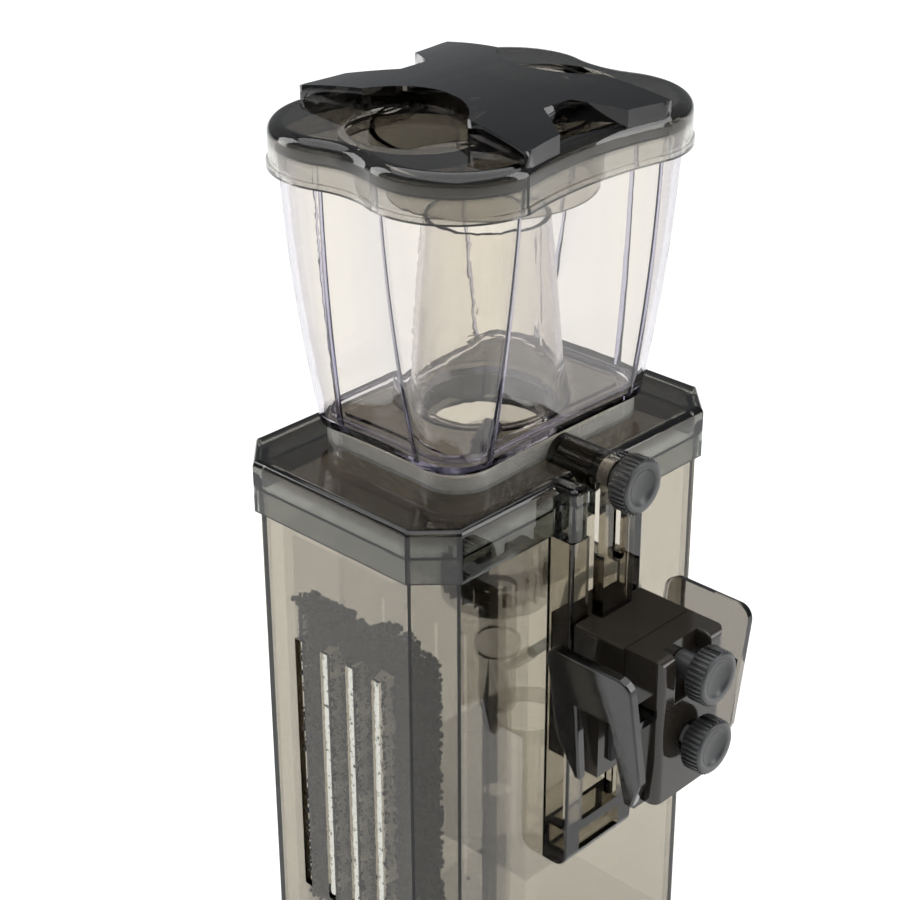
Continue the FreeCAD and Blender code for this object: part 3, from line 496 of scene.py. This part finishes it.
# fraction of the cup's height, and there the centre x, y and the radius of a corner arc, in mm
CUP_LOBES = ((0.0, 15.9, 26.7, 11.0), (0.45, 15.6, 26.4, 16.4), (1.0, 15.2, 25.6, 20.2))
CORNER_SIGNS = ((1, 1), (-1, 1), (-1, -1), (1, -1))
CREASE_ANGLES = (-0.03, math.pi / 2 + 0.28)
RIB_FOOT, RIB_RISE, RIB_STEPS = 0.015, 0.9, 30
RIB_R, RIB_TAPER, RIB_INSET = 1.0, 0.45, 0.95 * MM
RIM_R, RIM_INSET, RIM_HEIGHT, RIM_STEPS = 0.7 * MM, 3.2 * MM, 2.5 * MM, 6


def lobe(at):
    """Centre and radius of the cup's corner arcs at a fraction of its height."""
    plan = Vector((0, 0, 0))
    for height, *numbers in CUP_LOBES:
        others = [other[0] for other in CUP_LOBES if other[0] != height]
        weight = math.prod((at - other) / (height - other) for other in others)
        plan += Vector(numbers) * weight
    return plan * MM


def bead(name, points, radii, closed=False):
    """Round clear bead along a line of points, as a mesh that rides on the cup."""
    curve = bpy.data.curves.new(name, "CURVE")
    curve.dimensions = "3D"
    curve.bevel_depth = 1.0
    curve.bevel_resolution = 3
    curve.use_fill_caps = not closed
    spline = curve.splines.new("POLY")
    spline.points.add(len(points) - 1)
    spline.use_cyclic_u = closed
    for place, point, radius in zip(spline.points, points, radii):
        place.co = (*point, 1.0)
        place.radius = radius
    piece = bpy.data.objects.new(name, curve)
    bpy.context.scene.collection.objects.link(piece)
    select_only(piece)
    bpy.ops.object.convert(target="MESH")
    piece = bpy.context.object
    bpy.ops.object.shade_smooth_by_angle(angle=math.radians(50))
    piece.data.materials.append(violet_edge)
    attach(piece, "cup")


for corner, (sx, sy) in enumerate(CORNER_SIGNS):
    for side, angle in zip(("end", "flank"), CREASE_ANGLES):
        points, radii = [], []
        for step in range(RIB_STEPS + 1):
            at = RIB_FOOT + RIB_RISE * step / RIB_STEPS
            x, y, radius = lobe(at)
            reach = radius - RIB_INSET
            points.append((sx * (x + reach * math.cos(angle)), sy * (y + reach * math.sin(angle)),
                           cup_low.z + at * (cup_high.z - cup_low.z)))
            radii.append((RIB_R - RIB_TAPER * step / RIB_STEPS) * MM)
        bead(f"cup_rib_{side}_{corner}", points, radii)

x, y, radius = lobe(0)
rim = []
for corner, (sx, sy) in enumerate(CORNER_SIGNS):
    for step in range(RIM_STEPS + 1):
        angle = (corner + step / RIM_STEPS) * math.pi / 2
        reach = radius - RIM_INSET
        rim.append((sx * x + reach * math.cos(angle), sy * y + reach * math.sin(angle),
                    cup_low.z + RIM_HEIGHT))
bead("cup_floor_rim", rim, [RIM_R] * len(rim), closed=True)

# ---- Lid ----------------------------------------------------------------------------------
# Deep smoked lid with a stepped skirt, two finger wells, and a crowned X grip bonded across
# it. A clear silicone ring seals it to the cup.
lid_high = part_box("cup_lid")[1]
LID_PLATE_AND_WELL_SHADE = 5.6 * MM
EDGE_ANGLE = math.radians(40)
GRIP_EDGE = 0.3 * MM
# Smoked styrene: a pale grey skirt under a thick brown-grey plate. The dark tint reaches down to
# the floors of the finger wells, where it is painted shade.
lid_smoke_painted_shade = see_through("smoked_lid_painted_shade", "#c2c0ba", ior=1.5, deep=(lid_high.z - LID_PLATE_AND_WELL_SHADE, "#5e5a53"))
finish(lid_smoke_painted_shade, "cup_lid")
# Thin smoked styrene: a warm grey ring that is easily seen through.
deflector_styrene = see_through("smoked_deflector", "#b9b4a9", roughness=0.03)
finish(deflector_styrene, "lid_deflector")
# Moulded silicone: a frosty pale band.
seal_silicone = see_through("clear_silicone_seal", "#dadfe4", roughness=0.3, ior=1.41)
finish(seal_silicone, "lid_seal")


def round_edges(piece, width):
    """Bevels the sharp edges and shades the rest smooth."""
    bpy.ops.object.mode_set(mode="OBJECT")
    bevel = piece.modifiers.new("edges", "BEVEL")
    bevel.width, bevel.segments = width, 2
    bevel.limit_method, bevel.angle_limit = "ANGLE", EDGE_ANGLE
    bevel.harden_normals = True
    bpy.ops.object.modifier_apply(modifier="edges")
    bpy.ops.object.shade_smooth_by_angle(angle=EDGE_ANGLE)


def eased_copy(node, name, width):
    """A copy of a CAD piece, merged into clean faces, with its sharp edges rounded and polished."""
    piece = bpy.data.objects.new(name, NODES[node].data.copy())
    bpy.context.scene.collection.objects.link(piece)
    select_only(piece)
    bpy.ops.mesh.customdata_custom_splitnormals_clear()
    bpy.ops.object.mode_set(mode="EDIT")
    bpy.ops.mesh.select_all(action="SELECT")
    bpy.ops.mesh.remove_doubles(threshold=0.01 * MM)
    bpy.ops.mesh.dissolve_limited(angle_limit=math.radians(1))
    round_edges(piece, width)
    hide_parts(node)
    return piece


grip = eased_copy("lid_bridge", "lid_grip", GRIP_EDGE)
grip.data.materials.clear()
# Thick smoked styrene: black in the mass, with a polished top that mirrors the lamps.
grip.data.materials.append(see_through("thick_smoked_grip", "#2b2926", ior=1.5))
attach(grip, "lid")

# ---- Clamp --------------------------------------------------------------------------------
# The slotted bar is moulded in the tank's smoked styrene. The block and the outer jaw are so
# thick and so deep in colour that no light comes through. The two thin wings on them are
# smoked clear, the near one darker.
finish(smoked_styrene, "hanger_bar")
# Polished deep styrene: a brown-black body with sharp highlights.
block_styrene = moulded_solid("glossy_black_styrene", "#26221e", "#2d2924", 0.12, grain=3.0, depth=0.03)
finish(block_styrene, "slider_block", "outer_jaw")
# Satin smoked styrene: dark grey with soft highlights.
near_wing = see_through("satin_smoked_wing_styrene", "#3a3a39", roughness=0.06, ior=1.54)
finish(near_wing, "near_cheek")
# Polished smoked styrene: a clear warm grey pane.
far_wing = see_through("polished_smoked_wing_styrene", "#8b867e", roughness=0.02, ior=1.5)
finish(far_wing, "far_cheek")

# ---- Thumbscrews --------------------------------------------------------------------------
# Knurled black nylon heads moulded over steel studs. Each has a raised flat rim round a dished
# face, and the two clamp screws a short flanged neck. A washer keeps the top head off the bar.
HEAD_R = 7.3 * MM
HEAD_T = 5.5 * MM
HEAD_EDGE = 0.3 * MM
FACE_RIM = 1.9 * MM
# inset and drop of each step in mm, from the flat rim to the middle of the dished face
FACE_STEPS = ((0.25, 0.3), (1.1, 0.5), (1.2, 0.3), (1.2, 0.15))
KNURLS = 34
KNURL_DEPTH = 0.45 * MM
KNURL_SIZE = (HEAD_T - 0.8 * MM, 0.75 * MM, 1.0 * MM)
KNURL_EDGE = 0.22 * MM
NECK_R = 3.3 * MM
FLANGE_R = 3.9 * MM
FLANGE_FROM, FLANGE_TO = 1.5 * MM, 0.5 * MM
FLANGE_EDGE = 0.25 * MM


def pick(piece, test):
    """Selects in edit mode the faces that pass the test, and nothing else."""
    bpy.ops.object.mode_set(mode="EDIT")
    bpy.ops.mesh.select_mode(type="FACE")
    bpy.ops.mesh.select_all(action="DESELECT")
    bpy.ops.object.mode_set(mode="OBJECT")
    for face in piece.data.polygons:
        face.select = test(face)
    bpy.ops.object.mode_set(mode="EDIT")


def turned(radius, x0, x1, sides=72):
    """Round bar along X between two places, as a selected object."""
    bpy.ops.object.select_all(action="DESELECT")
    bpy.ops.mesh.primitive_cylinder_add(
        vertices=sides, radius=radius, depth=x1 - x0, location=((x0 + x1) / 2, 0, 0),
        rotation=(0, math.pi / 2, 0))
    bpy.ops.object.transform_apply(location=True, rotation=True, scale=True)
    return bpy.context.object


head = turned(HEAD_R - KNURL_DEPTH, -HEAD_T, 0)
pick(head, lambda face: face.normal.x > 0.9)
bpy.ops.mesh.inset(thickness=FACE_RIM)
for step, drop in FACE_STEPS:
    bpy.ops.mesh.inset(thickness=step * MM, depth=-drop * MM)
round_edges(head, HEAD_EDGE)

bpy.ops.object.select_all(action="DESELECT")
bpy.ops.mesh.primitive_cube_add(size=1, location=(-HEAD_T / 2, 0, HEAD_R - 0.5 * MM))
knurl = bpy.context.object
knurl.scale = KNURL_SIZE
bpy.ops.object.transform_apply(location=True, rotation=True, scale=True)
round_edges(knurl, KNURL_EDGE)
bpy.ops.object.mode_set(mode="EDIT")
bpy.ops.mesh.select_all(action="SELECT")
bpy.ops.mesh.spin(steps=KNURLS, angle=2 * math.pi, center=(0, 0, 0), axis=(1, 0, 0), dupli=True)
bpy.ops.mesh.remove_doubles(threshold=0.01 * MM)
bpy.ops.object.mode_set(mode="OBJECT")
select_only(head, knurl)
bpy.ops.object.join()

# Nylon from a grained mould: charcoal with a low satin shine.
satin_nylon = moulded_solid("satin_black_nylon", "#2c2c2d", "#3a3b3c", 0.34, grain=0.5, depth=0.1)
finish(satin_nylon, "height_washer")
for screw in ("lock", "clamp", "height"):
    node, body = screw + "_knob", screw + "_screw"
    low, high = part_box(node)
    knob = bpy.data.objects.new(body + "_head", head.data.copy())
    bpy.context.scene.collection.objects.link(knob)
    neck = high.x - HEAD_T - low.x
    parts = [knob]
    if neck > MM:
        parts.append(turned(NECK_R, -HEAD_T - neck, -HEAD_T + 0.3 * MM, sides=48))
        parts.append(turned(FLANGE_R, -HEAD_T - FLANGE_FROM, -HEAD_T - FLANGE_TO, sides=48))
        round_edges(parts[-1], FLANGE_EDGE)
    select_only(*parts)
    if len(parts) > 1:
        bpy.ops.object.join()
    knob.data.transform(Matrix.Translation((high.x, 0, (low.z + high.z) / 2)))
    knob.data.materials.clear()
    knob.data.materials.append(satin_nylon)
    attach(knob, body)
    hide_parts(node)
bpy.data.objects.remove(head)
# Machined steel thread, a little dull: mid grey with a broken shine.
steel = moulded_solid("machined_steel_thread", "#9a9a9a", "#868686", 0.3, grain=0.5, depth=0.1)
finish(steel, "lock_stud", "clamp_stud", "height_stud")
